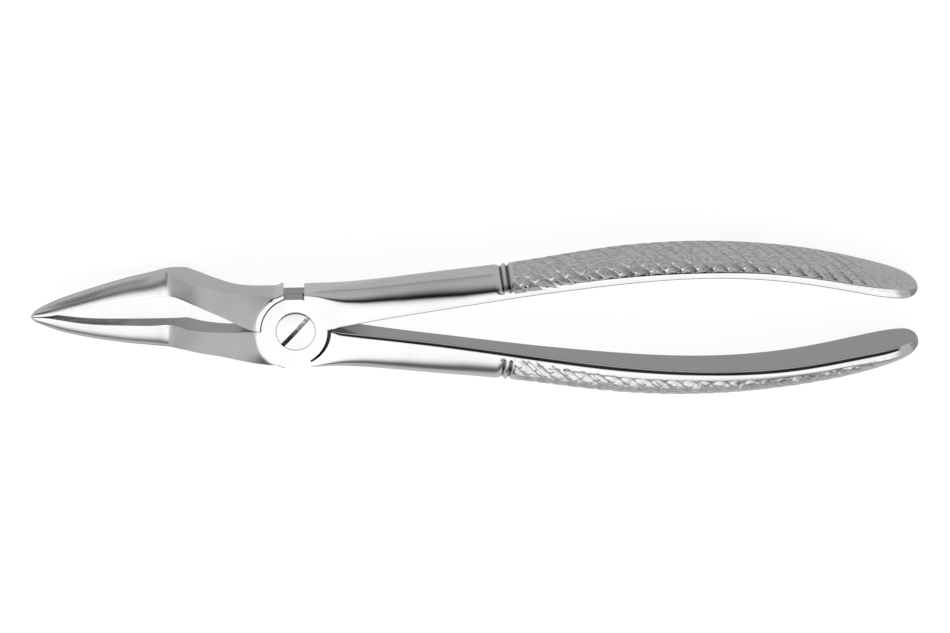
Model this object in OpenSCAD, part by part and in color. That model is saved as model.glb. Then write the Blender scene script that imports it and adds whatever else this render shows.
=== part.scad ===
// Dental extraction forceps, English pattern, with long offset root beaks.
// Two one-piece halves cross in a lap joint and turn on one slotted screw.
// Millimetres. Origin on the pivot axis at the middle of the joint, +X towards the handles,
// +Z out of the screw head, the beaks set back towards -Z. The tool is drawn closed.

/* [Joint] */
// Thickness of the closed joint across both discs
joint_t = 9; // [8:0.5:10]
// Radius of each lap disc
disc_r = 7.05; // [6.8:0.05:7.1]
// Radius of the recess that each disc turns in
recess_r = 7.15; // [7.15:0.05:7.4]
// Distance of the flat edge of a disc from the axis, where it shows in the notch
disc_flat = 6.65; // [6.4:0.05:6.8]
// Radius of the raised round face on the beak side of the joint
boss_r = 8.2; // [8:0.1:8.6]
// Gap between the two sliding faces
lap_gap = 0.03; // [0.02:0.01:0.08]

/* [Screw] */
// Diameter of the screw head
head_d = 8; // [7:0.1:8.4]
// Height of the cylindrical part of the head
head_h = 2.2; // [1.8:0.1:2.6]
// How far the domed head stands proud of the joint face
head_dome = 0.35; // [0.2:0.05:0.5]
// Diameter of the plain shank, which is the hinge pin
shank_d = 5; // [4.5:0.1:5.4]
// Diameter of the threaded end, drawn as a plain cylinder
thread_d = 4; // [3.5:0.1:4.2]
// Width of the screwdriver slot
slot_w = 0.88; // [0.7:0.02:1.1]
// Depth of the screwdriver slot
slot_depth = 1; // [0.8:0.1:1.2]
// Direction of the slot from the +X axis
slot_angle = 47; // [0:1:180]
// Radial running clearance of the screw in the front half
run_clear = 0.05; // [0.03:0.01:0.08]

/* [Handles] */
// Distance of the handle ends from the pivot
handle_end = 126.5; // [120:0.5:132]
// Where the handle ends start to narrow, seen from the side
end_start = 117; // [114:0.5:119]
// Radius of the handle ends, seen from the front
end_r = 3; // [2.5:0.1:3.5]
// Position of the first ring groove of the collar
collar_x = 42; // [41.5:0.1:43]
// Distance between the two ring grooves
collar_pitch = 1.4; // [1.2:0.1:1.6]
// Depth of the ring grooves
collar_depth = 0.5; // [0.3:0.1:0.7]

/* [Beaks] */
// Distance of the beak tips from the pivot
tip_x = 53.9; // [53:0.1:54]
// Gap between the two tips when the tool is closed
tip_gap = 0.1; // [0.06:0.02:0.2]

/* [Hidden] */

round_fn = 96;
reach = 60;             // larger than any part of the joint, for the cutting blocks
face_step = 0.04;       // the forged surfaces lie this far below the ground disc faces
top_z = joint_t / 2;
lap_z = lap_gap / 2;
notch_x = 2.3;          // the notch edge on the beak side
front_root_x = 1.9;     // the notch edge on the handle side, front half
rear_root_x = 2.9;      // the same on the rear half
bore_r = shank_d / 2 + run_clear;
counterbore_r = head_d / 2 + run_clear;
head_z = top_z - head_h;
crown_steps = 6;        // divisions of a quarter of the rounded outside of a section

// Each profile is a list of [x, value] knots that a smooth curve runs through.
// Handle: inner face, start of the rounded back, crest of the back, half thickness, squareness
handle_inner = [[2, 0.1], [7, 0.2], [10, 0.7], [14.5, 1.32], [21, 2.25], [33, 3.95], [45, 5.8], [62, 8.15],
                [84, 9.8], [103, 8.6], [119, 5.7], [127, 4.35]];
handle_shoulder = [[2, 6.9], [5, 6.4], [8, 4.5], [12, 3.15], [16, 2.95], [21, 3.4], [26, 4], [33, 4.8], [42, 6.2],
                   [51.5, 8.2], [62, 9.65], [75, 10.7], [85, 11], [94, 10.9], [102, 10.2], [109, 9.2], [116, 8],
                   [121, 7.3], [127, 5.9]];
handle_crest = [[2, 7.7], [9, 8.3], [21, 9.8], [33, 11.15], [45, 12.5], [62, 14.9], [82, 16], [102, 14.3],
                [113, 12.2], [119, 10.4], [127, 7.2]];
handle_half_t = [[2, 4.46], [7, 4.4], [21, 3.65], [33, 3.6], [46, 4.05], [62, 5.1], [82, 6], [102, 7.05],
                 [119, 7.7], [127, 7.9]];
handle_square = [[2, 6], [6, 3.8], [10, 3], [14, 2.5], [22, 2.05], [34, 1.85], [47, 1.9], [127, 2]];

// Beak side, by distance from the pivot: inner face, outer crest, front and back surfaces
jaw_inner = [[2, 0.1], [9, 0.15], [12, 0.9], [16, 1.85], [22, 2.85], [28, 2.95], [36, 2.4], [44, 1.4],
             [49, 0.4], [51.5, 0.08], [54, 0.05]];
jaw_crest = [[2, 7.4], [10, 7.3], [16, 7.45], [18.5, 7.62], [20.5, 7.9], [22.7, 8.3], [24.6, 8.45], [27.5, 8.1],
             [33, 7.15], [36, 6.55], [40, 5.64], [44, 4.62], [48, 3.42], [51.5, 2], [53.2, 1.1], [54, 0.6]];
jaw_front = [[2, 4.46], [8, 4.3], [11.3, 2.75], [15.3, -0.6], [18.3, -3.4], [21.5, -7.3], [23.4, -9.9],
             [25.1, -11.8], [26.7, -12.25], [28, -11.85], [33, -11], [40, -9.8], [48, -8.9], [54, -9.3]];
jaw_back = [[2, -4.46], [9, -4.5], [13.3, -6.4], [16, -9.2], [18.9, -12.6], [20.5, -14.8], [21.6, -16.3],
            [23.2, -17.05], [24.5, -17.1], [27, -16.95], [31, -16.4], [36, -15.3], [40, -14.3], [48, -12.4],
            [52, -11.2], [54, -10]];
// How much of the section is flat-sided: 1 on the neck, 0 on the half-round beaks
jaw_flat = [[2, 1], [20, 1], [26, 0], [54, 0]];
// How far the outside of the section leans out towards its back
jaw_lean = [[2, 0], [10, 0.2], [15, 0.38], [20, 0.36], [22.7, 0.24], [25, 0], [30, -0.27], [35, -0.4],
            [44.6, -0.17], [50, 0], [54, 0]];

handle_stations = [for (x = [3.5:2.5:41]) x];
grip_stations = [for (x = [45:4.5:end_start - 1]) x];
end_rings = 6;
neck_stations = [for (x = [4:1.75:25]) x];
beak_stations = [for (x = [27:3:51]) x];

function last(list) = list[len(list) - 1];
// Slope of a knot list at knot i, from its neighbours
function knot_slope(k, i) =
    let (a = max(i - 1, 0), b = min(i + 1, len(k) - 1)) (k[b][1] - k[a][1]) / (k[b][0] - k[a][0]);
// Cubic curve through two knots with the slopes at both ends
function hermite(p, q, m0, m1, x) =
    let (w = q[0] - p[0], t = (x - p[0]) / w)
    (2 * t^3 - 3 * t^2 + 1) * p[1] + (t^3 - 2 * t^2 + t) * w * m0
    + (3 * t^2 - 2 * t^3) * q[1] + (t^3 - t^2) * w * m1;
function segment(k, x, i = 0) = i >= len(k) - 2 || x <= k[i + 1][0] ? i : segment(k, x, i + 1);
function curve(k, x) =
    let (c = min(max(x, k[0][0]), last(k)[0]), i = segment(k, c))
    hermite(k[i], k[i + 1], knot_slope(k, i), knot_slope(k, i + 1), c);

// D-shaped section: flat inner face at y = inner, flat sides up to y = shoulder, rounded outside to
// y = crest. lean moves the outside out at the back (-Z) and in at the front.
function section(x, inner, shoulder, crest, half_t, z_mid, square, edge, lean = 0) =
    let (
        quarter = [for (i = [1:crown_steps - 1])
            let (a = 90 * i / crown_steps)
            [shoulder + (crest - shoulder) * sin(a)^(2 / square), half_t * cos(a)^(2 / square)]],
        side = concat([[inner, half_t - edge], [inner + edge, half_t], [shoulder, half_t]], quarter),
        top = concat(side, [[crest, 0]]),
        bottom = [for (i = [len(side) - 1:-1:0]) [side[i][0], -side[i][1]]]
    )
    [for (p = concat(top, bottom))
        let (out = max(0, (p[0] - inner) / (crest - inner)))
        [x, p[0] - lean * out * p[1] / half_t, z_mid + p[1]]];

function collar_cut(x) =
    let (d = min(abs(x - collar_x), abs(x - collar_x - collar_pitch)))
    collar_depth * max(0, 1 - d / (collar_pitch / 2));
// Falls from 1 to nearly 0 between x = from and the handle end, as the edge of a round or squarer end
function end_round(x, from, square) =
    let (u = max(0, (x - from) / (handle_end - from))) max(0.05, (1 - u^square)^(1 / square));
function handle_section(x) =
    let (
        cut = collar_cut(x),
        inner = curve(handle_inner, x),
        mid = (inner + curve(handle_crest, x)) / 2,
        round_y = end_round(x, handle_end - end_r, 2),
        round_z = end_round(x, end_start, 2.4)
    )
    section(x, mid + (inner - mid) * round_y, mid + (curve(handle_shoulder, x) - mid) * round_y,
            mid + (curve(handle_crest, x) - mid) * round_y - cut, curve(handle_half_t, x) * round_z - cut * 0.6,
            0, curve(handle_square, x), 0.6 * round_y * round_z);
function jaw_section(x) =
    let (
        inner = curve(jaw_inner, x),
        crest = curve(jaw_crest, x),
        front = curve(jaw_front, x),
        back = curve(jaw_back, x),
        flat = curve(jaw_flat, x),
        half_t = (front - back) / 2,
        edge = 0.3 * min(1, half_t / 2),
        square = 2 + 3 * flat,
        rounded = inner + edge + 0.1 * (crest - inner)
    )
    section(-x, inner, rounded + flat * (crest - 0.5 - rounded), crest, half_t, (front + back) / 2, square,
            edge, curve(jaw_lean, x));

// Closed solid through a list of rings that all have the same number of points
module loft(rings) {
    n = len(rings[0]);
    sides = [for (r = [0:len(rings) - 2], i = [0:n - 1], k = [0:1])
        let (a = r * n + i, b = r * n + (i + 1) % n)
        k == 0 ? [a, b, a + n] : [b, b + n, a + n]];
    start = [for (i = [1:n - 2]) [0, i + 1, i]];
    finish = let (f = (len(rings) - 1) * n) [for (i = [1:n - 2]) [f, f + i, f + i + 1]];
    polyhedron([for (ring = rings) each ring], concat(sides, start, finish));
}

module handle(root_x) {
    stations = concat([root_x], handle_stations,
        [for (i = [-1:3]) collar_x + i * collar_pitch / 2], grip_stations,
        [for (i = [0:end_rings]) end_start + (handle_end - end_start) * sin(90 * i / end_rings)]);
    loft([for (x = stations) handle_section(x)]);
}

module jaw() {
    stations = concat([notch_x], neck_stations, beak_stations, [52.4, 53.2, tip_x]);
    loft([for (i = [len(stations) - 1:-1:0]) jaw_section(stations[i])]);
}

// Round face that the neck of the beak grows from, full thickness, on the beak side only
module boss() {
    intersection() {
        cylinder(r = boss_r, h = joint_t, center = true, $fn = round_fn);
        translate([-reach - notch_x, tip_gap / 2, -reach / 2]) cube([reach, reach, reach]);
    }
}

// Lap disc between z = lap_z and the joint face. Its edge is drawn in where the other handle turns past it.
module disc() {
    intersection() {
        cylinder(r = disc_r, h = reach, $fn = round_fn);
        translate([-0.6, -0.1, 0]) cylinder(r = disc_r, h = reach, $fn = round_fn);
        translate([-reach / 2, -disc_flat, lap_z]) cube([reach, 2 * disc_flat, top_z - lap_z]);
    }
}

// One half before its screw holes. side = 1: disc towards +Z, handle towards +Y and beak towards -Y.
// side = -1: disc towards -Z, handle towards -Y and beak towards +Y. The beaks of both are set back.
module half_blank(root_x, side) {
    difference() {
        mirror_y(side < 0) {
            handle(root_x);
            mirror_y(true) {
                jaw();
                boss();
            }
        }
        translate([0, 0, side > 0 ? lap_z - reach : -lap_z]) cylinder(r = recess_r, h = reach, $fn = round_fn);
    }
    rotate([side > 0 ? 0 : 180, 0, 0]) disc();
}

module mirror_y(on) {
    if (on) mirror([0, 1, 0]) children();
    else children();
}

module front_half() {
    color([0.86, 0.87, 0.88])
    difference() {
        half_blank(front_root_x, 1);
        cylinder(r = bore_r, h = reach, $fn = round_fn, center = true);
        translate([0, 0, head_z - lap_gap]) cylinder(r = counterbore_r, h = reach, $fn = round_fn);
    }
}

module rear_half() {
    color([0.78, 0.79, 0.8])
    difference() {
        half_blank(rear_root_x, -1);
        cylinder(d = thread_d, h = reach, $fn = round_fn, center = true);
    }
}

module pivot_screw() {
    dome_r = ((head_d / 2)^2 + head_dome^2) / (2 * head_dome);
    color([0.9, 0.91, 0.92])
    difference() {
        union() {
            intersection() {
                translate([0, 0, head_z]) cylinder(d = head_d, h = head_h + head_dome, $fn = round_fn);
                translate([0, 0, top_z + head_dome - dome_r]) sphere(r = dome_r, $fn = round_fn);
            }
            translate([0, 0, -lap_z]) cylinder(d = shank_d, h = head_z + 2 * lap_z, $fn = round_fn);
            translate([0, 0, -top_z]) cylinder(d = thread_d, h = joint_t - head_h, $fn = round_fn);
        }
        rotate([0, 0, slot_angle]) translate([-reach / 2, -slot_w / 2, top_z + head_dome - slot_depth])
            cube([reach, slot_w, reach]);
    }
}

front_half();
rear_half();
pivot_screw();
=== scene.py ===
"""Dental extraction forceps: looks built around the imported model, in metres, in the part's own frame.

The two forged halves are lofted at full detail (knurl, ring grooves, serrated beaks) and cut with the same
joint geometry as the CAD solids. The screw is turned and slotted. Lengths in the lists and named values are
millimetres, and angles in them are degrees.
"""

import math

import bmesh
import bpy
import numpy as np
from mathutils import Matrix, Vector
from mathutils.kdtree import KDTree


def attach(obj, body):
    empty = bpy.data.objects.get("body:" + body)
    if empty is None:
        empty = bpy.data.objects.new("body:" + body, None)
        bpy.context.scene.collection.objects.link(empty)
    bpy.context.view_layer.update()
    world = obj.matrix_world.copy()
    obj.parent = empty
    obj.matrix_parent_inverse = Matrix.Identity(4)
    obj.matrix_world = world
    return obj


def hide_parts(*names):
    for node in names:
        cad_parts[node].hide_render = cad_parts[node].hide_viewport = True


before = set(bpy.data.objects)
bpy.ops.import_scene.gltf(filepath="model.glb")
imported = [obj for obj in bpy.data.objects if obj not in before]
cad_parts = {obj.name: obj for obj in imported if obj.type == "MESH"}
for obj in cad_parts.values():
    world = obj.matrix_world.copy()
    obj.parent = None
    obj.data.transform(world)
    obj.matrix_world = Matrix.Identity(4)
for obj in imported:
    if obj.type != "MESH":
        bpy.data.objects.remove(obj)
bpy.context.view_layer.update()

MM = 0.001

# --- Joint and screw ---------------------------------------------------------------------------------------
JOINT_HALF = 4.5            # half the thickness of the joint
LAP = 0.015                 # half the gap between the sliding faces
DISC_R = 7.03
DISC_FLAT = 6.65            # flat edge of a disc where it shows in the notches
DISC_CHAMFER = 0.12
DISC_SHIFT = (-0.6, -0.1)   # the disc's edge is drawn in by this where the other handle passes
RECESS_R = 7.23
BOSS_R = 8.2                # round face on the beak side
BOSS_EDGE = 0.45            # its rounding, across
BOSS_EDGE_H = 0.3           # its rounding, down
BOSS_SLOPE = 0.8            # how fast the neck falls away from the round face
BOSS_BEND = 0.9             # how softly that slope begins
NOTCH_X = 2.3
ROOT_X = {"front": 1.9, "rear": 2.9}
BORE_R = 2.55
COUNTERBORE_R = 4.05
THREAD_R = 2.0
THREAD_PITCH = 0.7
THREAD_DEPTH = 0.28
HEAD_R = 4.0
HEAD_H = 2.2
HEAD_DOME = 0.35
HEAD_LIP = 0.1
SHANK_R = 2.5
SLOT_W = 0.88
SLOT_DEPTH = 1.0
SLOT_ANGLE = 47
FAR = 30.0                  # reaches past the part in any direction

# --- Handles -----------------------------------------------------------------------------------------------
HANDLE_END = 126.5
END_START = 117.0           # the ends narrow from here, seen from the side
END_R = 3.0
SHARP_HANDLE = 32           # faces that meet at more than this many degrees make a crisp edge
SHARP_SCREW = 28

# Knots [x, value] of each profile. A natural cubic curve runs through them, unless a comment says otherwise
HANDLE_INNER = [[2, 0.1], [5, 0.06], [6.6, 0.04], [7.4, 0.14], [8.4, 0.4], [9.6, 0.63], [12.4, 1.02],
                [14.5, 1.32], [18, 1.83], [22, 2.4], [27, 3.1], [33, 3.97], [45, 5.8], [62, 8.15], [84, 9.8],
                [103, 8.6], [119, 5.7], [127, 4.35]]
HANDLE_SHOULDER = [[2, 7.2], [5, 6.4], [8, 4.6], [12, 3.4], [16, 3.2], [21, 3.55], [26, 4.05], [33, 4.8],
                   [42, 6.2], [47, 7.3], [51.5, 8.2], [62, 9.65], [75, 10.7], [85, 11], [94, 10.9],
                   [102, 10.2], [109, 9.2], [116, 8], [121, 7.3], [127, 5.9]]
HANDLE_FACET = [[42, 7.0], [47, 7.85], [51.5, 8.65], [55, 9.15], [60, 9.75], [64, 10.25], [75, 11.15],
                [85, 11.45], [94, 11.35], [102, 10.6], [109, 9.55], [116, 8.3], [121, 7.65], [127, 6.4]]
HANDLE_CREST = [[2, 7.75], [9, 8.35], [21, 9.8], [33, 11.15], [45, 12.5], [62, 14.9], [82, 16], [102, 14.3],
                [113, 12.2], [119, 10.4], [127, 7.2]]
HANDLE_HALF_T = [[5, 4.5], [9, 4.42], [14, 4.05], [21, 3.65], [33, 3.6], [46, 4.05], [62, 5.1], [82, 6],
                 [102, 7.05], [119, 7.7], [127, 7.9]]
FRONT_HANDLE_DROOP = 0.42   # the front half's grip is a little slimmer at its end
REAR_FACET_EXTRA = 0.5      # the rear half's grooves start this much further from the inner face

# Straight pieces between these knots: exponents of the crown's outline on the front and the back, the size of
# the edges along the inner face, and the angle at which the crown leaves the side face, which makes a crisp
# edge along the grip
HANDLE_SQUARE = [[2, 5], [6, 3.6], [10, 2.8], [14, 2.35], [22, 1.9], [34, 1.62], [42, 1.6], [47, 1.9],
                 [127, 2]]
HANDLE_SQUARE_BACK = [[2, 5], [6, 4.6], [12, 3.5], [20, 2.6], [40, 2.1], [127, 2]]
HANDLE_EDGE = [[2, 0.1], [6.5, 0.2], [9, 0.6], [14, 0.75], [30, 0.85], [46, 0.95], [62, 1.0], [84, 0.85],
               [100, 0.95], [127, 0.9]]
HANDLE_TURN_IN = [[2, 0], [42, 0], [47, 15], [100, 15], [120, 8], [127, 0]]
SHANK_LINE_ROUND = [[3, 3.2], [8, 2.9], [25, 2.5], [41, 2.7]]    # how far round from the shank's crest it runs

# The edge between a flat inner face and a side face, as [along the side face, below it]: a tight corner, then
# a soft bevel
EDGE = [[0.02, 0.48], [0.06, 0.36], [0.13, 0.282], [0.24, 0.236], [0.45, 0.174], [0.66, 0.112], [0.8, 0.072],
        [0.92, 0.038], [1.06, 0.012], [1.2, 0.0]]

# Collar: two ring grooves
COLLAR_X = 42.2
COLLAR_PITCH = 1.37
COLLAR_DEPTH = 0.6
COLLAR_HALF_W = 0.5
COLLAR_LEAN = 0.135         # the rings are square to the handle, which slopes by this much
COLLAR_BACK = 0.4           # they start this much nearer the joint at the inner face
RUN_DOWN = 1.5              # length over which the shank rounds down to the first groove
RUN_DOWN_DEPTH = 0.5
RUN_UP = 0.8                # length over which the grip rises after the second groove
RUN_UP_DEPTH = 0.2

# Knurl: two crossing sets of grooves over the back of the grip
KNURL_START = 44.3
KNURL_END = 119.5
KNURL_FADE = 9.0
KNURL_PITCH = 3.15          # along the handle
KNURL_ACROSS = KNURL_PITCH / math.sqrt(2)
KNURL_DEPTH = 0.42
KNURL_CROSS = 0.5           # depth of the crossing grooves, as a share of the main ones
KNURL_LEAST = {1: 0.32, -1: 0.5}    # depth on the crest, as a share of that at the side faces
KNURL_SWELL = 0.07          # the lozenges bulge by this between the grooves
KNURL_RUNOUT = [[44, 2.2], [49, 1.6], [54, 0.8], [60, 0.35], [66, 0.15], [127, 0.1]]    # onto the sides
GENTLE_WALL = 1.75
STEEP_WALL = 0.3
CROSS_WALL = 0.45

# --- Necks and beaks, with x counted towards the tips ------------------------------------------------------
TIP_X = 53.9
TIP_R = 1.2
JAW_INNER = [[2, 0.1], [9, 0.15], [12, 0.9], [16, 1.85], [22, 2.85], [28, 2.95], [36, 2.4], [44, 1.4],
             [49, 0.4], [51.5, 0.08], [54, 0.05]]
JAW_CREST = [[2, 7.45], [10, 7.32], [13, 7.36], [16, 7.45], [18.5, 7.62], [20.5, 7.9], [22.7, 8.3],
             [24.6, 8.45], [27.5, 8.1], [30, 7.64], [33, 7.15], [36, 6.55], [40, 5.64], [44, 4.62],
             [48, 3.42], [51.5, 2.0], [53.2, 1.1], [54, 0.6]]
JAW_FRONT = [[7, 4.75], [9, 4.0], [11.3, 2.35], [13.3, 0.8], [15.3, -0.8], [18.3, -3.4], [21.5, -7.3],
             [23.4, -9.9], [24.3, -10.95], [25.1, -11.8], [25.9, -12.25], [26.7, -12.25], [28, -11.85],
             [33, -11], [40, -9.8], [48, -8.9], [54, -9.3]]
JAW_BACK = [[8, -4.5], [10, -4.8], [13.3, -6.4], [16, -9.2], [18.9, -12.6], [20.5, -14.8], [21.6, -16.3],
            [22.3, -16.9], [23.2, -17.05], [24.5, -17.08], [27, -16.95], [31, -16.4], [36, -15.3],
            [40, -14.3], [48, -12.4], [52, -11.2], [54, -10]]
JAW_FLAT = [[2, 1], [19, 1], [26, 0], [54, 0]]      # 1 where the sides are flat, 0 where the beak is round
# Slant of the crest from back to front, in straight pieces
JAW_LEAN = [[2, 0], [10, 0.2], [15, 0.38], [20, 0.36], [22.7, 0.24], [25, 0], [27.5, -0.16], [30, -0.27],
            [35, -0.4], [40, -0.32], [44.6, -0.17], [50, -0.04], [54, 0]]
JAW_EDGE = 0.09
TROUGH_W = 0.78             # share of the gripping face that the trough takes
TROUGH_DEPTH = 0.55
RIB_PITCH = 0.47            # cross serrations of the gripping faces
RIB_DEPTH = 0.2
BRUSH_START = {1: 10.5, -1: 3.0}    # the brushed part of each neck starts here


# --- Curves ------------------------------------------------------------------------------------------------
def curve(knots, x):
    """Natural cubic curve through [x, value] knots, held level beyond both ends."""
    kx, ky = np.array(knots, float).T
    n = len(kx)
    h = np.diff(kx)
    a = np.eye(n)
    b = np.zeros(n)
    for i in range(1, n - 1):
        a[i, i - 1:i + 2] = h[i - 1], 2 * (h[i - 1] + h[i]), h[i]
        b[i] = 3 * ((ky[i + 1] - ky[i]) / h[i] - (ky[i] - ky[i - 1]) / h[i - 1])
    c = np.linalg.solve(a, b)
    x = np.clip(np.asarray(x, float), kx[0], kx[-1])
    i = np.clip(np.searchsorted(kx, x, side="right") - 1, 0, n - 2)
    t = x - kx[i]
    slope = (ky[i + 1] - ky[i]) / h[i] - h[i] * (2 * c[i] + c[i + 1]) / 3
    return ky[i] + slope * t + c[i] * t**2 + (c[i + 1] - c[i]) / (3 * h[i]) * t**3


def line(knots, x):
    """Straight pieces between [x, value] knots."""
    kx, ky = np.array(knots, float).T
    return np.interp(x, kx, ky)


def smooth(t):
    """Rises from 0 to 1 as t does, level at both ends."""
    t = np.clip(t, 0, 1)
    return t * t * (3 - 2 * t)


def end_round(x, start, square):
    """Width of a handle near its end, as a share of the full width."""
    u = np.clip((x - start) / (HANDLE_END - start), 0, 1)
    return np.maximum(0.02, (1 - u**square)**(1 / square))


# --- Sections ----------------------------------------------------------------------------------------------
N_INNER, N_SIDE = 25, 10
N_ARC = 160                             # points from which a crown's own are picked
INNER, FRONT_SIDE, CROWN = 0, 2, 3      # zones of a ring; 1 and 5 are the edges, and 4 is the back side face


def ring(n_crown, inner, shoulder, crest, half_t, square, square_back, edge, facet=0.0, turn_in=0.0):
    """Points of one D-shaped section as (y, z, v, zone, rim).

    v is the way round from the crest, positive to the front, zone tells the faces apart, and rim is how far
    round the grooves start, at y = facet. The crown leaves the side faces at an angle if turn_in is set.
    """
    corner = np.array(EDGE) * edge
    top = half_t - corner[0, 1] - 0.02 * edge
    z = np.linspace(-top, top, N_INNER)
    parts = [(np.full(N_INNER, inner), z)]
    parts.append((inner + corner[:, 0], half_t - corner[:, 1]))
    side_start = inner + corner[-1, 0]
    y = np.linspace(side_start, max(shoulder, side_start + 0.02), N_SIDE + 1)[1:]
    parts.append((y, np.full(N_SIDE, half_t)))
    shoulder = y[-1]

    t0 = math.radians(turn_in)
    t = np.linspace(t0, math.pi / 2, N_ARC)
    halves = []
    for n in (square, square_back):
        first = math.sin(t0)**(2 / n)
        out = (np.sin(t)**(2 / n) - first) / (1 - first)
        halves.append((shoulder + (crest - shoulder) * out, half_t * (np.cos(t) / math.cos(t0))**(2 / n)))
    (crown_y, crown_z), (back_y, back_z) = halves
    crown_y = np.concatenate([crown_y, back_y[-2::-1]])
    crown_z = np.concatenate([crown_z, -back_z[-2::-1]])
    s = np.concatenate([[0], np.cumsum(np.hypot(np.diff(crown_y), np.diff(crown_z)))])
    at = np.linspace(0, s[-1], n_crown + 2)[1:-1]
    parts.append((np.interp(at, s, crown_y), np.interp(at, s, crown_z)))

    parts.append((y[::-1], np.full(N_SIDE, -half_t)))
    parts.append(((inner + corner[:, 0])[::-1], -(half_t - corner[:, 1])[::-1]))
    y = np.concatenate([part[0] for part in parts])
    z = np.concatenate([part[1] for part in parts])
    zone = np.concatenate([np.full(len(part[0]), k) for k, part in enumerate(parts)])
    way = np.concatenate([[0], np.cumsum(np.hypot(np.diff(y), np.diff(z)))])
    crown = np.flatnonzero(zone == CROWN)
    middle = (way[crown[0]] + way[crown[-1]]) / 2
    rim = s[-1] / 2 - np.interp(facet, crown_y[:N_ARC], s[:N_ARC])
    return y, z, middle - way, zone, rim


def rings(n_crown, *lists):
    """Arrays (y, z, v, zone, rim) of a ring at each place along a piece. The lists are ring()'s arguments."""
    rows = [ring(n_crown, *values) for values in zip(*lists)]
    y, z, v = (np.array([row[k] for row in rows]) for k in range(3))
    rim = np.array([row[4] for row in rows])[:, None]
    return y, z, v, rows[0][3], rim


def outward(y, z):
    """Outward normals of closed rings of points, in the rings' own planes."""
    dy = np.roll(y, -1, axis=1) - np.roll(y, 1, axis=1)
    dz = np.roll(z, -1, axis=1) - np.roll(z, 1, axis=1)
    n = np.maximum(np.hypot(dy, dz), 1e-9)
    return -dz / n, dy / n


def groove(t, pitch, gentle, steep, full):
    """Depth of a groove, full at its bottom: a gentle wall before it and a steep one after it, so it narrows
    as it runs out."""
    before = pitch * gentle / (gentle + steep)
    t = (t + before) % pitch - before
    return np.maximum(0, full - np.where(t < 0, -t / gentle, t / steep))


# --- Handle ------------------------------------------------------------------------------------------------
def handle_sections(xs, hand, n_crown):
    """Plain sections of a handle at xs, with nothing cut into them."""
    inner = np.maximum(curve(HANDLE_INNER, xs), 0.04)
    shoulder, crest, facet = curve(HANDLE_SHOULDER, xs), curve(HANDLE_CREST, xs), curve(HANDLE_FACET, xs)
    if hand > 0:
        crest = crest - FRONT_HANDLE_DROOP * smooth((xs - 98) / 20)
    round_y, round_z = end_round(xs, HANDLE_END - END_R, 2), end_round(xs, END_START, 2.4)
    middle = (inner + crest) / 2
    edge = line(HANDLE_EDGE, xs) * round_y * round_z
    ends_drawn_in = [middle + (y - middle) * round_y for y in (inner, shoulder, crest, facet)]
    sections = rings(n_crown, *ends_drawn_in[:3], curve(HANDLE_HALF_T, xs) * round_z, line(HANDLE_SQUARE, xs),
                     line(HANDLE_SQUARE_BACK, xs), edge, ends_drawn_in[3], line(HANDLE_TURN_IN, xs))
    return sections, inner[:, None], crest


def knurl(x, v, along, crown, outside, start, hand):
    """Depth of the knurl's cut and the shade painted into it. The grooves are deepest towards the side faces,
    where they run out in points. hand is 1 or -1: which way the main grooves turn."""
    a = (along - hand * v) / math.sqrt(2)
    b = (along + hand * v) / math.sqrt(2)
    runout = line(KNURL_RUNOUT, x)
    cover = np.clip((crown + runout) / (runout + 0.2), 0, 1) * outside
    near_edge = np.exp(-(np.maximum(crown - 0.6, 0) / 1.9)**2)
    least = KNURL_LEAST[hand]
    strength = least + (1 - least) * near_edge
    fade = smooth((KNURL_END - x) / KNURL_FADE)
    uneven = 1 + 0.18 * np.sin(1.7 * np.round(a / KNURL_ACROSS)) + 0.1 * np.sin(0.8 * x + 2 * v)
    full = cover * (0.12 + 0.88 * fade * strength) * uneven * (x < KNURL_END + 5)
    main = groove(a, KNURL_ACROSS, GENTLE_WALL, STEEP_WALL, full)
    cross_full = full * fade * smooth((crown + 0.4) / 0.8)
    cross = KNURL_CROSS * groove(b, KNURL_ACROSS, CROSS_WALL, CROSS_WALL, cross_full)
    from_ridge = [2 * np.abs((t / KNURL_ACROSS) % 1 - 0.5) for t in (a, b)]
    swell = KNURL_SWELL * cover * start * fade * strength
    cut = KNURL_DEPTH * start * np.maximum(main, cross) + swell * (from_ridge[0]**2 + from_ridge[1]**2)

    main_share, cross_share = main / np.maximum(full, 0.05), cross / np.maximum(full, 0.05)
    # painted shade: dark at the bottoms of the grooves, and in the hollows between the lozenges near the side
    # faces
    painted_groove_shade = np.maximum(np.clip(main_share * 8 - 7, 0, 1) * np.clip(5 * full, 0, 1),
                        np.clip(cross_share * 4 - 1.8, 0, 1))
    painted_hollow_shade = near_edge * np.clip(main_share * 1.6 - 0.5, 0, 1) * smooth((crown + 0.1) / 0.3)
    reach = 1.8 if hand > 0 else 1.1
    dark = start * 0.85 * np.maximum(painted_groove_shade, painted_hollow_shade * np.exp(-(crown / reach)**2))
    return cut, dark


def collar(x, y, inner, crown, outside):
    """Depth of the two ring grooves, square to the handle, and the shade painted in them, with the plain part
    rounding down to the first and the grip rising from the second."""
    square_x = x + COLLAR_LEAN * (y - inner) - COLLAR_BACK
    cover = np.clip((crown + 0.25) / 0.7, 0, 1) * outside
    before = (square_x - COLLAR_X) / RUN_DOWN
    after = (square_x - COLLAR_X - COLLAR_PITCH) / RUN_UP
    cut = np.maximum(RUN_DOWN_DEPTH * cover * np.clip(1 + before, 0, 1)**2 * (before < 0),
                     RUN_UP_DEPTH * cover * np.clip(1 - after, 0, 1)**2.5 * (after > 0))
    dark = np.zeros_like(x)
    for centre in (COLLAR_X, COLLAR_X + COLLAR_PITCH):
        vee = np.maximum(0, cover - np.abs(square_x - centre) / COLLAR_HALF_W)
        cut = np.maximum(cut, COLLAR_DEPTH * vee)
        # painted shade in the groove
        dark = np.maximum(dark, 0.75 * np.clip(vee * 2 - 0.5, 0, 1))
    return cut, dark


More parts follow.
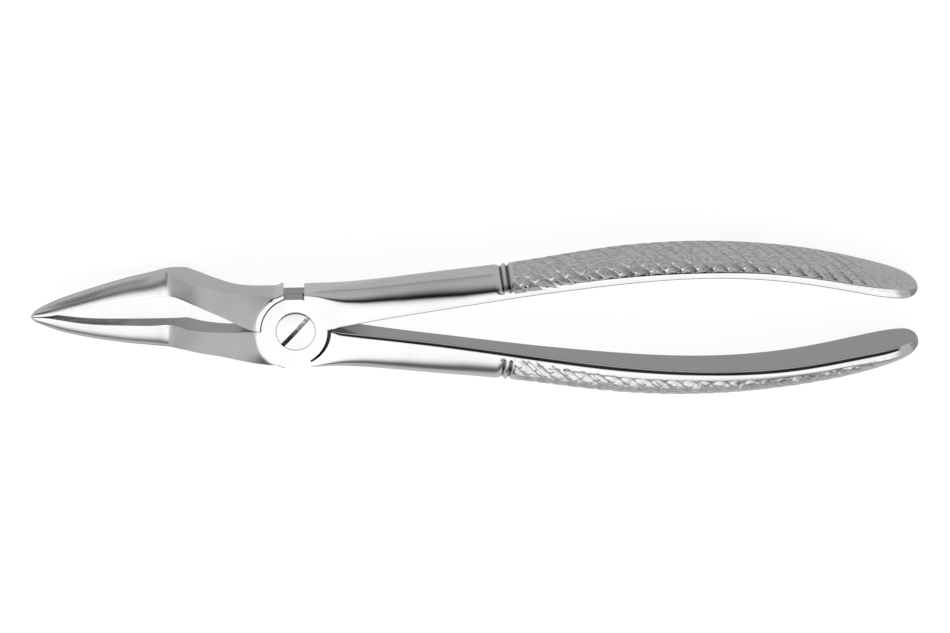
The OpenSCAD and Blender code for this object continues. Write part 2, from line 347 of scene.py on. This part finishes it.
def dark_shank_line(x, v, zone):
    """A faint dark line along the shank, on its front and back, with a crisp side and a soft one."""
    shank = smooth((COLLAR_X - 1.2 - x) / 1.5) * smooth((x - 2) / 3) * (zone == CROWN)
    beyond = [side * v - line(SHANK_LINE_ROUND, x) for side in (-1, 1)]
    shades = [np.where(d > 0, np.exp(-d / 0.5), np.exp(d / 0.1)) for d in beyond]
    return 0.5 * shank * np.maximum(*shades)


def handle_rings(root_x, hand, coarse):
    """Rings of a handle, towards +Y, as (x, y, z, satin, dark). hand is 1 for the front half, -1 for the
    rear half."""
    step = 0.3 if coarse else 0.15
    fine_from, fine_to = COLLAR_X - 2.4, KNURL_START + 0.6
    xs = np.concatenate([np.arange(root_x, fine_from, 0.4), np.arange(fine_from, fine_to, 0.07),
                         np.arange(fine_to, HANDLE_END - END_R, step),
                         HANDLE_END - END_R * (1 - np.sin(np.linspace(0, math.pi / 2, 26)))])
    (y, z, v, zone, rim), inner, crest = handle_sections(xs, hand, 80 if coarse else 140)
    x = np.repeat(xs[:, None], y.shape[1], axis=1)
    outside = (zone >= FRONT_SIDE) & (zone < 5)

    # how far past the start of the grooves, on the way round
    crown = rim - np.abs(v)
    if hand < 0:
        crown = crown - REAR_FACET_EXTRA * smooth((x - 46) / 4) * smooth((112 - x) / 10)
    start = smooth((x - KNURL_START) / 0.25)
    wobble = 0.07 * np.sin(0.9 * x + 1.3 * v) + 0.05 * np.sin(2.3 * x - 2.9 * v + 1)
    along = np.concatenate([[0], np.cumsum(np.hypot(np.diff(xs), np.diff(crest)))])[:, None] + wobble
    knurl_cut, knurl_painted_shade = knurl(x, v, along, crown, outside, start, hand)
    collar_cut, collar_painted_shade = collar(x, y, inner, crown, outside)
    cut = np.maximum(knurl_cut, collar_cut)

    # painted shade on the flat inner face, where the two halves close on each other
    closed = np.clip(1.15 - (x - 7.2) / 7.5, 0, 1) * (zone == INNER) * (x > 7.2)
    # dark: painted shade in the grooves and on the closing face, and the dark line along the shank
    dark = np.maximum.reduce([knurl_painted_shade, collar_painted_shade, dark_shank_line(x, v, zone), closed])

    # the grip is satin over its back, and all round at its end
    back_satin = 0.8 if hand > 0 else 0.4 + 0.4 * smooth((crown - 1) / 1.5)
    on_knurl = back_satin * smooth((crown - 0.3) / 0.6) * start
    satin = np.maximum(on_knurl, 0.55 * smooth((x - 100) / 20)) * outside

    ny, nz = outward(y, z)
    return x, y - ny * cut, z - nz * cut, satin, dark


# --- Neck and beak -----------------------------------------------------------------------------------------
def jaw_sections(steps):
    """Sections of a neck and beak at steps, which count from the joint towards the tip."""
    inner = np.maximum(curve(JAW_INNER, steps), 0.05)
    front = np.minimum(curve(JAW_FRONT, steps), JOINT_HALF)
    back = np.minimum(curve(JAW_BACK, steps), -JOINT_HALF)
    beyond = np.clip((steps - TIP_X + TIP_R) / TIP_R, 0, 1)
    tip = np.sqrt(np.maximum(0.0, 1 - beyond**2)) * 0.88 + 0.12
    half = (front - back) / 2 * tip
    crest = inner + (curve(JAW_CREST, steps) - inner) * tip
    flat = np.clip(curve(JAW_FLAT, steps), 0, 1)
    edge = np.minimum(JAW_EDGE, half * 0.2)
    rounded = inner + 1.2 * edge + 0.06 * (crest - inner)
    shoulder = rounded + flat * (crest - 0.55 - rounded)
    y, z, _, zone, _ = rings(84, inner, shoulder, crest, half, 1.78 + 2.82 * flat, 2 + 2.6 * flat, edge)
    inner, crest, half = (values[:, None] for values in (inner, crest, half))
    out = np.clip((y - inner) / (crest - inner), 0, 1)
    y = y - line(JAW_LEAN, steps)[:, None] * out * z / half
    return y, z, zone, half, ((front + back) / 2)[:, None], crest - inner


def gripping_face(x, z, half, depth):
    """The trough of a beak's inner face and its fine cross serrations: how deep, the shade painted into them,
    and how satin.
    """
    share = np.clip(np.abs(z) / half, 0, 1)
    trough = smooth((-x - 33) / 4) * smooth((TIP_X + x - 0.5) / 1.5)
    serrated = smooth((-x - 37.5) / 1.0) * smooth((51.8 + x) / 0.6)
    bowl = np.clip(1 - (share / TROUGH_W)**2, 0, 1)
    teeth = np.abs(((x / RIB_PITCH) % 1.0) - 0.5) * 2
    cut = trough * bowl * (np.minimum(TROUGH_DEPTH, 0.3 * depth) + RIB_DEPTH * serrated * teeth)
    # painted shade in the trough, strongest on the serrations
    dark = trough * (0.3 + 0.7 * serrated * (teeth - 0.1)) * (share < 0.85)
    return cut, dark, 0.6 * trough


def under_cone(x, y, z, mid_z):
    """z of the front surface, kept under the cone that falls away from the round face of the joint."""
    rho = np.hypot(x, y)
    fall = np.maximum(rho - BOSS_R + BOSS_EDGE, 0)
    cone = JOINT_HALF - BOSS_SLOPE * (np.hypot(fall, BOSS_BEND) - BOSS_BEND)
    blend = 0.9 * smooth((rho - 11) / 6)
    above = (np.hypot(z - cone, blend) + z - cone) / 2
    return np.where(z > mid_z, z - smooth((24 - rho) / 3) * above, z)


def jaw_rings(side, coarse):
    """Rings of a neck and beak, towards +Y and -X, in order from the tip to the joint, as (x, y, z, satin,
    dark, brushed). side is 1 for the front half and -1 for the rear half."""
    fine = 0.2 if coarse else 0.085
    tip_steps = TIP_X - TIP_R * (1 - np.sin(np.linspace(math.pi / 2, 0, 16)))
    steps = np.concatenate([tip_steps[:-1], np.arange(TIP_X - TIP_R, 36, -fine), np.arange(36, 27, -0.25),
                            np.arange(27, 7, -0.12), np.arange(7, NOTCH_X, -0.3), [NOTCH_X]])
    y, z, zone, half, mid_z, depth = jaw_sections(steps)
    x = np.repeat(-steps[:, None], y.shape[1], axis=1)
    cut, dark, satin = (part * (zone == INNER) for part in gripping_face(x, z, half, depth))
    y = y + cut
    z = under_cone(x, y, z + mid_z, mid_z)
    # painted shade on the inner face near the joint, where the two halves close on each other
    closed = np.clip(1 - (-x - 8.2) / 4.5, 0, 1) * (zone == INNER) * (-x > 8.2)
    dark = np.maximum(dark, closed)

    # brushed: the neck outside the joint's face, and less so the back of the beak
    outer = ((zone == FRONT_SIDE) | (zone == CROWN)) & (z < JOINT_HALF - 0.15)
    neck = smooth((-x - BRUSH_START[side]) / 2) * smooth((27 + x) / 1.5) * outer
    beak = 0.4 * smooth((-x - 23) / 1.5) * smooth((52 + x) / 3) * (zone == CROWN)
    return x, y, z, satin, dark, np.maximum(neck, beak)


# --- Meshes ------------------------------------------------------------------------------------------------
def new_object(name, mesh):
    obj = bpy.data.objects.new(name, mesh)
    bpy.context.scene.collection.objects.link(obj)
    return obj


def mesh_from(name, verts, faces):
    """Object from points in metres, with its faces turned outward."""
    mesh = bpy.data.meshes.new(name)
    mesh.from_pydata([tuple(p) for p in verts], [], faces)
    bm = bmesh.new()
    bm.from_mesh(mesh)
    bmesh.ops.recalc_face_normals(bm, faces=bm.faces)
    bm.to_mesh(mesh)
    bm.free()
    return new_object(name, mesh)


def loft(name, x, y, z, flip):
    """Closed mesh through rings of points, mirrored to -Y if flip."""
    rows, n = x.shape
    verts = np.stack([x, -y if flip else y, z], axis=-1).reshape(-1, 3) * MM
    grid = np.arange(rows * n).reshape(rows, n)
    a, b = grid[:-1], grid[1:]
    quads = np.stack([a, np.roll(a, -1, 1), np.roll(b, -1, 1), b], axis=-1).reshape(-1, 4)
    faces = quads.tolist() + [grid[0].tolist(), grid[-1].tolist()]
    return mesh_from(name, verts, faces)


def lathe(name, profile, segments=160, offset=(0, 0)):
    """Closed solid of revolution about Z through (r, z) points, from the axis to the axis."""
    pts = profile[1:-1]
    centre_x, centre_y = offset
    turns = np.linspace(0, 2 * math.pi, segments, endpoint=False)
    verts = [(centre_x * MM, centre_y * MM, profile[0][1] * MM)]
    for r, z in pts:
        verts += [((r * math.cos(t) + centre_x) * MM, (r * math.sin(t) + centre_y) * MM, z * MM)
                  for t in turns]
    verts.append((centre_x * MM, centre_y * MM, profile[-1][1] * MM))
    last = len(verts) - 1
    faces = []
    for i in range(segments):
        j = (i + 1) % segments
        faces.append((0, 1 + i, 1 + j))
        for k in range(len(pts) - 1):
            p, q = 1 + k * segments, 1 + (k + 1) * segments
            faces.append((p + i, q + i, q + j, p + j))
        p = 1 + (len(pts) - 1) * segments
        faces.append((p + i, last, p + j))
    return mesh_from(name, verts, faces)


def drum(name, r, z0, z1, offset=(0, 0)):
    """Plain cylinder between z0 and z1."""
    return lathe(name, [(0, z0), (r, z0), (r, z1), (0, z1)], offset=offset)


def quarter_turn(r, top, across, down, steps):
    """(r, z) points of a rounded upper rim, from the flat top outward and down to the side."""
    return [(r - across * (1 - math.sin(t)), top - down * (1 - math.cos(t)))
            for t in np.linspace(0, math.pi / 2, steps)]


def block(name, low, high):
    """Box between two corners."""
    x0, y0, z0 = low
    x1, y1, z1 = high
    verts = [(x * MM, y * MM, z * MM) for x in (x0, x1) for y in (y0, y1) for z in (z0, z1)]
    faces = [(0, 1, 3, 2), (4, 6, 7, 5), (0, 4, 5, 1), (2, 3, 7, 6), (0, 2, 6, 4), (1, 5, 7, 3)]
    return mesh_from(name, verts, faces)


def combine(base, steps):
    """Applies (operation, other) booleans to base in turn and removes the others."""
    for operation, other in steps:
        modifier = base.modifiers.new(operation, "BOOLEAN")
        modifier.operation = operation
        modifier.solver = "MANIFOLD"
        modifier.object = other
    bpy.context.view_layer.update()
    graph = bpy.context.evaluated_depsgraph_get()
    mesh = bpy.data.meshes.new_from_object(base.evaluated_get(graph))
    base.modifiers.clear()
    base.data = mesh
    for _, other in steps:
        bpy.data.objects.remove(other)
    return base


def finish_surface(obj, sharp_angle):
    """Smooth shading, with crisp edges where faces meet at more than sharp_angle."""
    for polygon in obj.data.polygons:
        polygon.use_smooth = True
    obj.data.set_sharp_from_angle(angle=math.radians(sharp_angle))


def mark(obj, name, points, values):
    """Stores values, given at points of the lofts, on the vertices of obj that lie on those points."""
    tree = KDTree(len(points))
    for i, p in enumerate(points):
        tree.insert(p, i)
    tree.balance()
    attribute = obj.data.attributes.new(name, "FLOAT", "POINT")
    on_point = 0.02 * MM
    out = np.zeros(len(obj.data.vertices), np.float32)
    for i, vertex in enumerate(obj.data.vertices):
        _, k, distance = tree.find(vertex.co)
        if distance < on_point:
            out[i] = values[k]
    attribute.data.foreach_set("value", out)


# --- Pieces ------------------------------------------------------------------------------------------------
def joint_disc(side):
    """Disc of one half, drawn in where the other half's handle passes, with a flat edge in each notch."""
    arc = quarter_turn(DISC_R, JOINT_HALF, DISC_CHAMFER, DISC_CHAMFER, 5)
    rim = [(r, side * z) for r, z in reversed(arc)]
    disc = lathe("disc", [(0, side * LAP), (DISC_R, side * LAP)] + rim + [(0, side * JOINT_HALF)])
    shift = DISC_SHIFT[0], side * DISC_SHIFT[1]
    trim = drum("trim", DISC_R, -JOINT_HALF - 1, JOINT_HALF + 1, shift)
    flats = block("flats", (-FAR, -DISC_FLAT, -FAR), (FAR, DISC_FLAT, FAR))
    return combine(disc, [("INTERSECT", trim), ("INTERSECT", flats)])


def joint_boss(side):
    """Round face of the joint on the beak's side of one half, rounded at its rim."""
    arc = quarter_turn(BOSS_R, JOINT_HALF, BOSS_EDGE, BOSS_EDGE_H, 7)
    under = [(r, -z) for r, z in arc]
    boss = lathe("boss", [(0, -JOINT_HALF)] + under + arc[::-1] + [(0, JOINT_HALF)])
    gap = 0.05
    y0, y1 = (-FAR, -gap) if side > 0 else (gap, FAR)
    return combine(boss, [("INTERSECT", block("beak_side", (-FAR, y0, -FAR), (-NOTCH_X, y1, FAR)))])


def forged_half(side, coarse):
    """One half: disc, handle and beak in one piece. side is 1 for the front half and -1 for the rear half."""
    key = "front" if side > 0 else "rear"
    x, y, z, satin, dark = handle_rings(ROOT_X[key], side, coarse)
    jaw_x, jaw_y, jaw_z, jaw_satin, jaw_painted_shade, brushed = jaw_rings(side, coarse)
    half = loft(f"{key}_half_forging", x, y, z, flip=side < 0)
    jaw = loft("jaw", jaw_x, jaw_y, jaw_z, flip=side > 0)
    recess = (LAP - FAR, LAP) if side > 0 else (-LAP, FAR - LAP)
    steps = [("UNION", jaw), ("UNION", joint_boss(side)), ("DIFFERENCE", drum("recess", RECESS_R, *recess)),
             ("UNION", joint_disc(side))]
    if side > 0:
        counterbore_floor = JOINT_HALF - HEAD_H - 2 * LAP
        steps += [("DIFFERENCE", drum("bore", BORE_R, -FAR, FAR)),
                  ("DIFFERENCE", drum("counterbore", COUNTERBORE_R, counterbore_floor, FAR))]
    else:
        steps += [("DIFFERENCE", drum("thread", THREAD_R, -FAR, FAR))]
    combine(half, steps)

    handle_points = np.stack([x, side * y, z], axis=-1).reshape(-1, 3)
    jaw_points = np.stack([jaw_x, -side * jaw_y, jaw_z], axis=-1).reshape(-1, 3)
    points = np.concatenate([handle_points, jaw_points]) * MM
    # dark carries the painted shade of the grooves, the trough and the closing faces, and the dark line along
    # the shank
    marks = {"satin": (satin, jaw_satin), "dark": (dark, jaw_painted_shade), "brushed": (np.zeros_like(x), brushed)}
    for name, (on_handle, on_jaw) in marks.items():
        mark(half, name, points, np.concatenate([on_handle.ravel(), on_jaw.ravel()]))
    finish_surface(half, SHARP_HANDLE)
    return half


def pivot_screw():
    """Domed, slotted head on a plain shank with a threaded end."""
    top = JOINT_HALF + HEAD_DOME
    dome_r = (HEAD_R**2 + HEAD_DOME**2) / (2 * HEAD_DOME)
    dome = [(r, top - dome_r + math.sqrt(dome_r**2 - r**2)) for r in np.linspace(HEAD_R - HEAD_LIP, 0, 14)]
    under_head = JOINT_HALF - HEAD_H
    root = THREAD_R - THREAD_DEPTH
    n_turns = int((JOINT_HALF - 0.8) / (THREAD_PITCH / 2))
    turns = [(THREAD_R if k % 2 else root, -JOINT_HALF + 0.35 + k * THREAD_PITCH / 2) for k in range(n_turns)]
    profile = [(0, -JOINT_HALF), (root, -JOINT_HALF)] + turns
    profile += [(root, -LAP), (SHANK_R, -LAP), (SHANK_R, under_head)]
    profile += [(HEAD_R, under_head), (HEAD_R, dome[0][1] - HEAD_LIP * 0.6)] + dome
    screw = lathe("pivot_screw_turned", profile)
    slot = block("slot", (-FAR, -SLOT_W / 2, top - SLOT_DEPTH), (FAR, SLOT_W / 2, top + FAR))
    slot.data.transform(Matrix.Rotation(math.radians(SLOT_ANGLE), 4, "Z"))
    combine(screw, [("DIFFERENCE", slot)])
    finish_surface(screw, SHARP_SCREW)
    return screw


# --- Materials ---------------------------------------------------------------------------------------------
STEEL_BASE = 0.62
POLISH_SCALE = (90, 2600, 2600)     # noise per metre: long lines along X
SPECK_SCALE = (1000, 2900, 2900)
CLOUD_SCALE = 160.0
WORKED_ROUGHNESS = 0.38             # what full satin or brushing adds


class Nodes:
    """Short names for building a node tree."""

    def __init__(self, tree):
        self.tree = tree
        tree.nodes.clear()

    def set(self, socket, value):
        if isinstance(value, bpy.types.NodeSocket):
            self.tree.links.new(value, socket)
        else:
            socket.default_value = value

    def add(self, kind, inputs=None, **settings):
        node = self.tree.nodes.new(kind)
        for key, value in settings.items():
            setattr(node, key, value)
        for key, value in (inputs or {}).items():
            self.set(node.inputs[key], value)
        return node

    def math(self, operation, a, b=0.0):
        return self.add("ShaderNodeMath", {0: a, 1: b}, operation=operation).outputs[0]

    def ramp(self, value, low, high, out_low=0.0, out_high=1.0, kind="SMOOTHSTEP"):
        inputs = {"Value": value, "From Min": low, "From Max": high, "To Min": out_low, "To Max": out_high}
        return self.add("ShaderNodeMapRange", inputs, interpolation_type=kind).outputs[0]

    def noise(self, at, scale=1.0, detail=3.0):
        inputs = {"Vector": at, "Scale": scale, "Detail": detail}
        return self.add("ShaderNodeTexNoise", inputs).outputs[0]

    def stretched(self, at, scale):
        return self.add("ShaderNodeMapping", {"Vector": at, "Scale": scale}).outputs[0]

    def mix(self, share, a, b):
        return self.add("ShaderNodeMix", {0: share, 6: a, 7: b}, data_type="RGBA").outputs[2]


def grey(v):
    return (v, v, v * 1.005, 1)


def new_material(name):
    """An empty node material, its Nodes and the object's coordinates."""
    material = bpy.data.materials.new(name)
    material.use_nodes = True
    n = Nodes(material.node_tree)
    return material, n, n.add("ShaderNodeTexCoord").outputs["Object"]


def forged_look(n, place, tone, roughness, height, specks):
    """Satin on the knurl and brushed on the necks, with painted shade in the grooves and on the closing
    faces, a dark line along each shank, and painted shade in the gaps of the joint.
    """
    satin, dark, brushed = (n.add("ShaderNodeAttribute", attribute_name=name).outputs["Fac"]
                            for name in ("satin", "dark", "brushed"))
    worked = n.math("MULTIPLY", n.math("MAXIMUM", satin, brushed), WORKED_ROUGHNESS)
    roughness = n.math("ADD", roughness, worked)
    tone = n.mix(satin, tone, n.ramp(specks, 0.34, 0.66, STEEL_BASE * 0.68, STEEL_BASE * 1.08))
    # painted shade from the dark attribute
    tone = n.mix(n.math("MULTIPLY", dark, 0.8), tone, grey(STEEL_BASE * 0.12))
    height = n.math("ADD", height, n.math("MULTIPLY", n.math("MULTIPLY", specks, satin), 3.0))

    x, _, z = n.add("ShaderNodeSeparateXYZ", {0: place}).outputs
    from_axis = n.add("ShaderNodeVectorMath", {0: place, 1: (1, 1, 0)}, operation="MULTIPLY").outputs[0]
    rho = n.add("ShaderNodeVectorMath", {0: from_axis}, operation="LENGTH").outputs["Value"]
    depth = n.math("ABSOLUTE", z)
    # painted shade, near black, in the joint's notches and in the gap between the discs
    inside = n.math("MULTIPLY", n.ramp(rho, (RECESS_R + 0.2) * MM, (RECESS_R + 0.1) * MM),
                    n.ramp(depth, (JOINT_HALF - 0.02) * MM, (JOINT_HALF - 0.1) * MM))
    in_notch = n.ramp(n.math("ABSOLUTE", x), (NOTCH_X + 0.3) * MM, (NOTCH_X - 0.2) * MM, 1.0, 0.68)
    between_discs = n.ramp(depth, 0.22 * MM, 0.1 * MM)
    painted_gap_shade = n.math("MULTIPLY", inside, n.math("MAXIMUM", in_notch, between_discs))
    tone = n.mix(n.math("MULTIPLY", painted_gap_shade, 0.95), tone, grey(0.008))
    return tone, roughness, height


def screw_look(n, place, tone, roughness, height, specks):
    """Scored and dull in the slot, with painted shade there that is lighter towards +X and +Y."""
    x, y, z = n.add("ShaderNodeSeparateXYZ", {0: place}).outputs
    inside = n.ramp(n.math("ABSOLUTE", z), (JOINT_HALF - 0.25) * MM, (JOINT_HALF - 0.4) * MM)
    # painted shade in the slot over its real scoring, with painted light towards +X and +Y
    painted_slot_light = n.ramp(n.math("ADD", x, y), -3 * MM, 4 * MM, 0.05, 0.75)
    scored_and_painted_shade = n.math("MULTIPLY", n.ramp(specks, 0.35, 0.65, 0.25, 0.9), painted_slot_light)
    tone = n.mix(inside, tone, scored_and_painted_shade)
    return tone, n.math("ADD", roughness, n.math("MULTIPLY", inside, 0.3)), height


def steel(name, rough, look):
    """Polished stainless steel: drawn polish lines, faint clouding and fine wear, then a look of its own."""
    material, n, place = new_material(name)
    lines = n.noise(n.stretched(place, POLISH_SCALE))
    specks = n.noise(n.stretched(place, SPECK_SCALE))
    clouds = n.noise(place, CLOUD_SCALE, 4.0)
    tone = n.mix(n.ramp(clouds, 0.3, 0.7), grey(STEEL_BASE * 0.97), grey(STEEL_BASE * 1.03))
    roughness = n.ramp(clouds, 0.3, 0.7, rough * 0.8, rough * 1.25)
    height = n.math("MULTIPLY", lines, 0.25)
    tone, roughness, height = look(n, place, tone, roughness, height, specks)
    bump = n.add("ShaderNodeBump", {"Strength": 0.12, "Distance": 0.02 * MM, "Height": height}).outputs[0]
    inputs = {"Base Color": tone, "Metallic": 1.0, "Roughness": roughness, "Normal": bump}
    shader = n.add("ShaderNodeBsdfPrincipled", inputs)
    n.add("ShaderNodeOutputMaterial", {"Surface": shader.outputs[0]})
    return material


# --- Floor and card ----------------------------------------------------------------------------------------
HEEL = Vector((-24.3, 0, -17.12)) * MM      # where the tool rests on its beaks
GRIP = Vector((112.5, 0, -7.62)) * MM       # where it rests on its handles
SHEET_HALF = 3.0                            # metres
FLOOR_LOW = 0.7
FLOOR_NEAR_SIDE = 0.74
FLOOR_SHADOW_UNDER = 0.38
FLOOR_SHADOW_UNDER_BEAKS = 0.29
FLOOR_FAR_SIDE = 0.66
SIDE = 0.70
CARD = {"x": (-72, -26), "y": 42, "z": (2, 78)}


def floor_material():
    """Pale and evenly lit, so that the part's shadow stays faint."""
    material, n, place = new_material("pale_floor")
    tone = n.mix(n.noise(place, 3.0, 2.0), grey(0.14), grey(0.15))
    inputs = {"Base Color": tone, "Roughness": 0.9, "Specular IOR Level": 0.0, "Emission Color": grey(1.0),
              "Emission Strength": 0.9}
    shader = n.add("ShaderNodeBsdfPrincipled", inputs)
    n.add("ShaderNodeOutputMaterial", {"Surface": shader.outputs[0]})
    return material


def reflected_floor_material():
    """What the steel sees of the floor: mid grey, with a painted shadow under the tool."""
    material, n, place = new_material("reflected_floor")
    x, y, _ = n.add("ShaderNodeSeparateXYZ", {0: place}).outputs
    level = n.mix(n.ramp(y, -160 * MM, -50 * MM), grey(FLOOR_LOW), grey(FLOOR_NEAR_SIDE))
    # painted shadow of the tool in the floor that the steel reflects
    under = n.mix(n.ramp(x, -4 * MM, 4 * MM), grey(FLOOR_SHADOW_UNDER_BEAKS), grey(FLOOR_SHADOW_UNDER))
    level = n.mix(n.ramp(y, -18 * MM, -12 * MM), level, under)
    level = n.mix(n.ramp(y, 3.5 * MM, 8.5 * MM), level, grey(FLOOR_FAR_SIDE))
    level = n.mix(n.ramp(x, -62 * MM, -52 * MM), grey(SIDE), level)
    shader = n.add("ShaderNodeEmission", {"Color": level, "Strength": 1.0})
    n.add("ShaderNodeOutputMaterial", {"Surface": shader.outputs[0]})
    return material


def only_reflected(obj):
    obj.visible_camera = False
    obj.visible_diffuse = False
    obj.visible_shadow = False


def sheet(name, material, drop):
    """A wide sheet that touches the heels of the beaks and the handles, as the tool lies on a table."""
    down = Vector((0, 0, drop)) * MM
    slope = math.atan2(GRIP.z - HEEL.z, GRIP.x - HEEL.x)
    s = SHEET_HALF
    mesh = bpy.data.meshes.new(name)
    mesh.from_pydata([(-s, -s, 0), (s, -s, 0), (s, s, 0), (-s, s, 0)], [], [(0, 1, 2, 3)])
    mesh.materials.append(material)
    obj = new_object(name, mesh)
    obj.matrix_world = Matrix.Translation(HEEL - down) @ Matrix.Rotation(-slope, 4, "Y")
    return obj


def floor():
    """The pale floor, and under it the tone that the polished steel reflects from below."""
    seen = sheet("floor", floor_material(), 0)
    seen.visible_glossy = False
    only_reflected(sheet("floor_reflected", reflected_floor_material(), 0.05))


def flag_card():
    """A dark card beyond the beaks, seen in reflections only: it shades their far sides, most at its top."""
    x0, x1 = (v * MM for v in CARD["x"])
    z0, z1 = (v * MM for v in CARD["z"])
    y, tilt = CARD["y"] * MM, 20 * MM
    material, n, place = new_material("flag_card")
    z = n.add("ShaderNodeSeparateXYZ", {0: place}).outputs[2]
    level = n.mix(n.ramp(z, z0, z1, kind="LINEAR"), grey(0.42), grey(0.05))
    n.add("ShaderNodeOutputMaterial", {"Surface": n.add("ShaderNodeEmission", {"Color": level}).outputs[0]})
    mesh = bpy.data.meshes.new("flag_card")
    mesh.from_pydata([(x0, y, z0), (x1, y, z0), (x1, y + tilt, z1), (x0, y + tilt, z1)], [], [(0, 1, 2, 3)])
    mesh.materials.append(material)
    card = new_object("flag_card", mesh)
    only_reflected(card)


# --- Camera and studio -------------------------------------------------------------------------------------
VIEW_W = 193.09             # width of the view at the tool
VIEW_TILT = 16.5            # the camera leans this far from the pivot axis towards +Y
VIEW_ROLL = 1.1057
AIM = Vector((36.48, 1.09, 0)) * MM
CAMERA_D = 5.0              # metres: so far that the view is nearly parallel
SENSOR_W = 36

# The studio by angle from overhead towards +Y: [angle, brightness of polished steel that reflects it]. A wide
# white panel hangs over the tool; a narrow black flag beyond it draws the dark line along rounded edges
STUDIO = [[-180, 0.4], [-110, 0.45], [-98, 0.45], [-91, 0.36], [-88, 0.25], [-84, 0.14], [-78, 0.1],
          [-72, 0.17], [-66, 0.38], [-58, 0.74], [-49, 0.94], [-30, 0.98], [-15, 1.0], [-3, 0.93], [4, 0.72],
          [8, 0.33], [11, 0.03], [13, 0.008], [16, 0.008], [18, 0.04], [21, 0.1], [25, 0.2], [29, 0.28],
          [33, 0.35], [38, 0.39], [60, 0.41], [100, 0.42], [180, 0.4]]


def camera():
    tilt = math.radians(VIEW_TILT)
    back = Vector((0, math.sin(tilt), math.cos(tilt)))
    roll = Matrix.Rotation(math.radians(-VIEW_ROLL), 3, back)
    right = roll @ Vector((1, 0, 0))
    up = roll @ Vector((0, math.cos(tilt), -math.sin(tilt)))
    data = bpy.data.cameras.new("camera")
    data.sensor_width = SENSOR_W
    data.lens = SENSOR_W * CAMERA_D / (VIEW_W * MM)
    data.clip_start, data.clip_end = 0.05, 20
    cam = new_object("camera", data)
    turn = Matrix((right, up, back)).transposed().to_4x4()
    cam.matrix_world = Matrix.Translation(AIM + back * CAMERA_D) @ turn
    bpy.context.scene.camera = cam


def studio():
    """Soft studio light from all round, by the STUDIO list, with grey ends."""
    world = bpy.data.worlds.new("studio")
    bpy.context.scene.world = world
    world.use_nodes = True
    n = Nodes(world.node_tree)
    direction = n.add("ShaderNodeTexCoord").outputs["Generated"]
    x, y, z = n.add("ShaderNodeSeparateXYZ", {0: direction}).outputs
    turn = n.math("DIVIDE", n.math("ARCTAN2", y, z), 2 * math.pi)
    around = n.add("ShaderNodeValToRGB", {0: n.math("ADD", turn, 0.5)})
    elements = around.color_ramp.elements
    while len(elements) < len(STUDIO):
        elements.new(0.5)
    for element, (degrees, tone) in zip(elements, STUDIO):
        element.position = degrees / 360 + 0.5
        element.color = grey(tone / STEEL_BASE)
    sideways = n.ramp(n.math("ABSOLUTE", x), 0.56, 0.74)
    level = n.mix(sideways, around.outputs[0], grey(SIDE))
    background = n.add("ShaderNodeBackground", {"Color": level, "Strength": 1.0})
    n.add("ShaderNodeOutputWorld", {"Surface": background.outputs[0]})
    scene = bpy.context.scene
    scene.view_settings.view_transform = "Standard"
    scene.view_settings.look = "None"


def softbox():
    """One soft lamp overhead, which the steel doesn't mirror."""
    light = bpy.data.lights.new("overhead_softbox", "AREA")
    light.shape = "RECTANGLE"
    light.size, light.size_y = 2.4, 1.6
    light.energy = 8
    box = new_object("overhead_softbox", light)
    place = Matrix.Translation((0.03, -0.6, 1.8))
    box.matrix_world = place @ Matrix.Rotation(math.radians(-18), 4, "X")
    box.visible_camera = False
    box.visible_glossy = False


# --- Build -------------------------------------------------------------------------------------------------
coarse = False
forged = steel("forged_steel", 0.085, forged_look)
turned = steel("screw_steel", 0.1, screw_look)
for side, node, body in ((1, "front_half", "front"), (-1, "rear_half", "rear")):
    half = forged_half(side, coarse)
    half.data.materials.clear()
    half.data.materials.append(forged)
    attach(half, body)
    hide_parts(node)

screw = pivot_screw()
screw.data.materials.clear()
screw.data.materials.append(turned)
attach(screw, "rear")
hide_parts("pivot_screw")

camera()
floor()
flag_card()
studio()
softbox()
